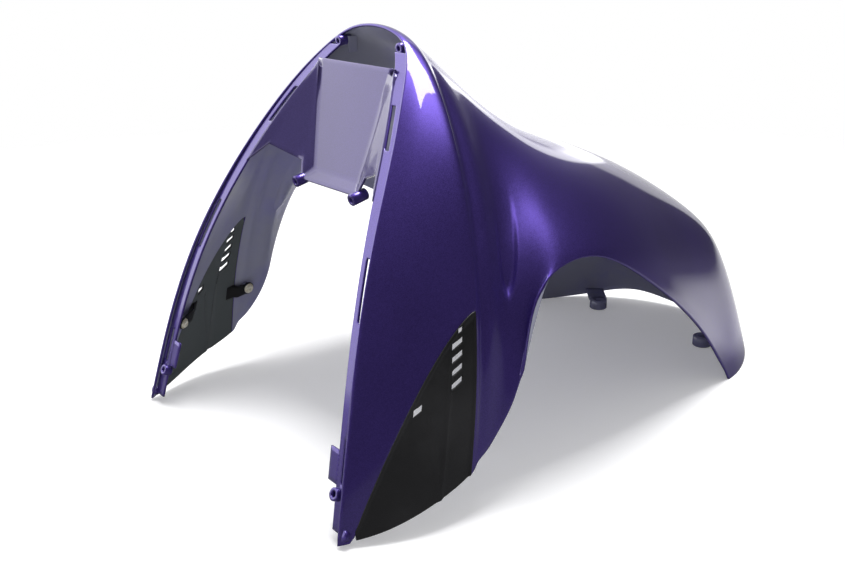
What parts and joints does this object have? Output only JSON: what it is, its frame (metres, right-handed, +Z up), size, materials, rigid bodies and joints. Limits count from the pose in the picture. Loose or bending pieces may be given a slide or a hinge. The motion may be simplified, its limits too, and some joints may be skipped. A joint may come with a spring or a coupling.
{
  "type": "scooter front fairing",
  "caption": "Glossy moulded front fairing of a motor scooter: leg shield and front mudguard in one shell, with screwed-in dark vent inserts in its wings.",
  "frame": {"origin": "centre of the footprint, on the floor that the nose and the wing tips stand on", "axes": "+X towards the nose, +Y towards the left wing, +Z up"},
  "size_m": [0.725, 0.4508, 0.421],
  "materials": {
    "shell_paint": "metallic blue-violet paint under clear coat outside, bare dark plastic with overspray inside",
    "insert_plastic": "fine-grained black plastic",
    "screw_zinc": "yellow zinc plated",
    "washer_zinc": "yellow zinc plated, dull"
  },
  "bodies": {
    "root": {"main_shell": "shell_paint", "right_vent_insert": "insert_plastic", "left_vent_insert": "insert_plastic", "insert_screws": "screw_zinc", "insert_washers": "washer_zinc"}
  },
  "joints": []
}
